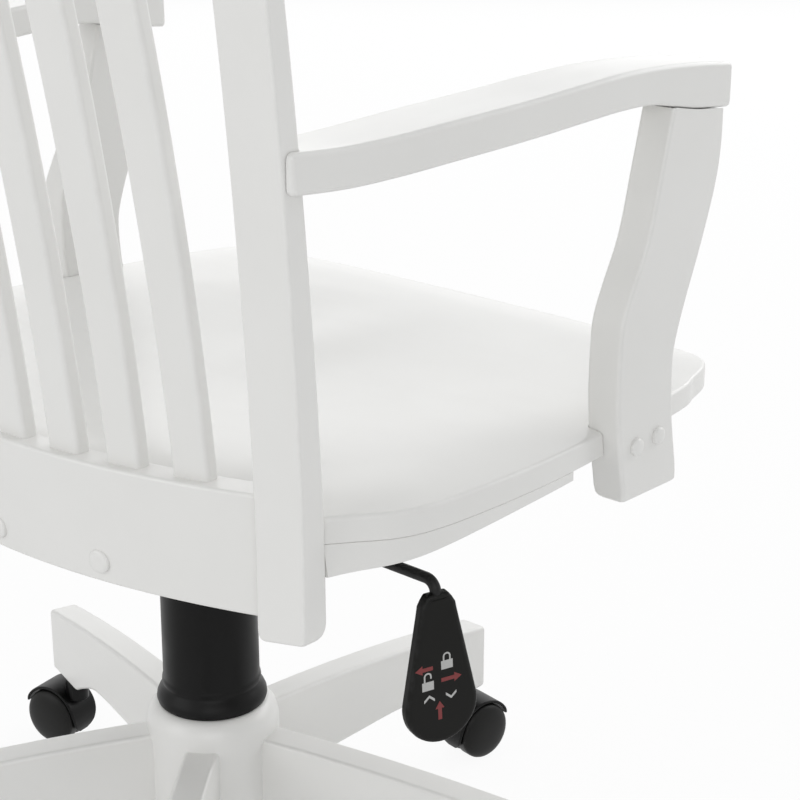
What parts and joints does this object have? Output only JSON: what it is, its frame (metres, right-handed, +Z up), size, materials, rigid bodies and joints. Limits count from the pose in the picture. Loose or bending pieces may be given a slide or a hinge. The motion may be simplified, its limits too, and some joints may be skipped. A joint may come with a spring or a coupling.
{
  "type": "bankers swivel chair",
  "caption": "Swivel desk chair in white painted wood: slatted bowed back, open bent arms, saddle seat on a gas column, five-leg base with twin-wheel casters.",
  "frame": {"origin": "centre of the bounding box on the floor plane, a little behind the swivel axis of the column", "axes": "+Z up, +Y towards the back of the chair, the sitter faces -Y, +X to the sitter's left"},
  "size_m": [0.649, 0.6182, 0.893],
  "materials": {
    "painted_wood": "satin white paint",
    "black_plastic": "fine-grained matte",
    "black_metal": "black powder coat",
    "steel": "plain"
  },
  "bodies": {
    "base": {"base_hub": "painted_wood", "hub_bush": "steel", "gas_cylinder": "steel", "column_cover_lower": "black_plastic", "base_leg_1": "painted_wood", "base_leg_2": "painted_wood", "base_leg_3": "painted_wood", "base_leg_4": "painted_wood", "base_leg_5": "painted_wood", "caster_stem_1": "steel", "caster_stem_2": "steel", "caster_stem_3": "steel", "caster_stem_4": "steel", "caster_stem_5": "steel"},
    "column": {"gas_piston_rod": "steel"},
    "cover_middle": {"column_cover_middle": "black_plastic"},
    "mechanism": {"tilt_housing": "black_metal", "column_cover_upper": "black_plastic", "tilt_pin": "steel", "tilt_spring": "steel"},
    "valve": {"gas_valve_pin": "steel"},
    "seat": {"seat_plate": "black_metal", "seat_board": "painted_wood", "seat_build_up": "painted_wood", "back_post_right": "painted_wood", "back_post_left": "painted_wood", "lower_back_rail": "painted_wood", "crest_rail": "painted_wood", "arm_right": "painted_wood", "arm_left": "painted_wood", "arm_support_right": "painted_wood", "arm_support_left": "painted_wood", "tension_bolt": "steel", "back_slat_1": "painted_wood", "back_slat_2": "painted_wood", "back_slat_3": "painted_wood", "back_slat_4": "painted_wood", "back_slat_5": "painted_wood", "back_slat_6": "painted_wood", "back_slat_7": "painted_wood", "back_slat_8": "painted_wood"},
    "knob": {"tension_knob": "black_plastic"},
    "release": {"release_arm": "black_metal"},
    "lever": {"lever_rod": "black_metal", "lever_paddle": "black_plastic"},
    "caster_1": {"caster_hood_1": "black_plastic"},
    "wheel_1_left": {"caster_wheel_1_left": "black_plastic"},
    "wheel_1_right": {"caster_wheel_1_right": "black_plastic"},
    "caster_2": {"caster_hood_2": "black_plastic"},
    "wheel_2_left": {"caster_wheel_2_left": "black_plastic"},
    "wheel_2_right": {"caster_wheel_2_right": "black_plastic"},
    "caster_3": {"caster_hood_3": "black_plastic"},
    "wheel_3_left": {"caster_wheel_3_left": "black_plastic"},
    "wheel_3_right": {"caster_wheel_3_right": "black_plastic"},
    "caster_4": {"caster_hood_4": "black_plastic"},
    "wheel_4_left": {"caster_wheel_4_left": "black_plastic"},
    "wheel_4_right": {"caster_wheel_4_right": "black_plastic"},
    "caster_5": {"caster_hood_5": "black_plastic"},
    "wheel_5_left": {"caster_wheel_5_left": "black_plastic"},
    "wheel_5_right": {"caster_wheel_5_right": "black_plastic"}
  },
  "joints": [
    {"name": "gas_lift", "type": "slide", "parent": "base", "child": "column", "axis": [0, 0, 1], "range_m": [0, 0.1]},
    {"name": "cover_middle_slide", "type": "slide", "parent": "base", "child": "cover_middle", "axis": [0, 0, 1], "range_m": [0, 0.05]},
    {"name": "swivel", "type": "hinge", "parent": "column", "child": "mechanism", "pos_m": [-0.00233, 0.02873, 0.34], "axis": [0, 0, 1], "continuous": true},
    {"name": "tilt", "type": "hinge", "parent": "mechanism", "child": "seat", "pos_m": [-0.00233, -0.00127, 0.388], "axis": [-1, 0, 0], "range_deg": [0, 12], "stiffness_Nm_per_rad": 60, "springref_deg": -28.65, "deforming": ["tilt_spring"]},
    {"name": "valve_press", "type": "slide", "parent": "column", "child": "valve", "axis": [0, 0, -1], "range_m": [0, 0.0047]},
    {"name": "lever_lift", "type": "hinge", "parent": "mechanism", "child": "release", "pos_m": [-0.04833, 0.03673, 0.343], "axis": [0, 1, 0], "range_deg": [0, 5], "stiffness_Nm_per_rad": 3, "springref_deg": -5.73},
    {"name": "lever_turn", "type": "hinge", "parent": "release", "child": "lever", "pos_m": [-0.04833, 0.03673, 0.343], "axis": [1, 0, 0], "range_deg": [-20, 20]},
    {"name": "tension_turn", "type": "hinge", "parent": "seat", "child": "knob", "pos_m": [-0.00233, -0.05727, 0.324], "axis": [0, 0, 1], "range_deg": [-720, 720]},
    {"name": "caster_swivel_1", "type": "hinge", "parent": "base", "child": "caster_1", "pos_m": [0.00521, -0.25917, 0.055], "axis": [0, 0, 1], "continuous": true},
    {"name": "wheel_spin_1_left", "type": "hinge", "parent": "caster_1", "child": "wheel_1_left", "pos_m": [0.00229, -0.27997, 0.025], "axis": [0.9903, -0.1392, 0], "continuous": true},
    {"name": "wheel_spin_1_right", "type": "hinge", "parent": "caster_1", "child": "wheel_1_right", "pos_m": [0.00229, -0.27997, 0.025], "axis": [0.9903, -0.1392, 0], "continuous": true},
    {"name": "caster_swivel_2", "type": "hinge", "parent": "base", "child": "caster_2", "pos_m": [0.27381, -0.05307, 0.055], "axis": [0, 0, 1], "continuous": true},
    {"name": "wheel_spin_2_left", "type": "hinge", "parent": "caster_2", "child": "wheel_2_left", "pos_m": [0.29442, -0.04906, 0.025], "axis": [-0.1908, 0.9816, 0], "continuous": true},
    {"name": "wheel_spin_2_right", "type": "hinge", "parent": "caster_2", "child": "wheel_2_right", "pos_m": [0.29442, -0.04906, 0.025], "axis": [-0.1908, 0.9816, 0], "continuous": true},
    {"name": "caster_swivel_3", "type": "hinge", "parent": "base", "child": "caster_3", "pos_m": [0.16079, 0.26608, 0.055], "axis": [0, 0, 1], "continuous": true},
    {"name": "wheel_spin_3_left", "type": "hinge", "parent": "caster_3", "child": "wheel_3_left", "pos_m": [0.1786, 0.27721, 0.025], "axis": [-0.5299, 0.848, 0], "continuous": true},
    {"name": "wheel_spin_3_right", "type": "hinge", "parent": "caster_3", "child": "wheel_3_right", "pos_m": [0.1786, 0.27721, 0.025], "axis": [-0.5299, 0.848, 0], "continuous": true},
    {"name": "caster_swivel_4", "type": "hinge", "parent": "base", "child": "caster_4", "pos_m": [-0.17765, 0.25722, 0.055], "axis": [0, 0, 1], "continuous": true},
    {"name": "wheel_spin_4_left", "type": "hinge", "parent": "caster_4", "child": "wheel_4_left", "pos_m": [-0.19546, 0.26834, 0.025], "axis": [-0.5299, -0.848, 0], "continuous": true},
    {"name": "wheel_spin_4_right", "type": "hinge", "parent": "caster_4", "child": "wheel_4_right", "pos_m": [-0.19546, 0.26834, 0.025], "axis": [-0.5299, -0.848, 0], "continuous": true},
    {"name": "caster_swivel_5", "type": "hinge", "parent": "base", "child": "caster_5", "pos_m": [-0.27381, -0.06741, 0.055], "axis": [0, 0, 1], "continuous": true},
    {"name": "wheel_spin_5_left", "type": "hinge", "parent": "caster_5", "child": "wheel_5_left", "pos_m": [-0.29442, -0.0634, 0.025], "axis": [-0.1908, -0.9816, 0], "continuous": true},
    {"name": "wheel_spin_5_right", "type": "hinge", "parent": "caster_5", "child": "wheel_5_right", "pos_m": [-0.29442, -0.0634, 0.025], "axis": [-0.1908, -0.9816, 0], "continuous": true}
  ],
  "couplings": [
    {"joint": "cover_middle_slide", "follows": "gas_lift", "ratio": 0.5},
    {"joint": "valve_press", "follows": "lever_lift", "m_per_rad": 0.052}
  ]
}
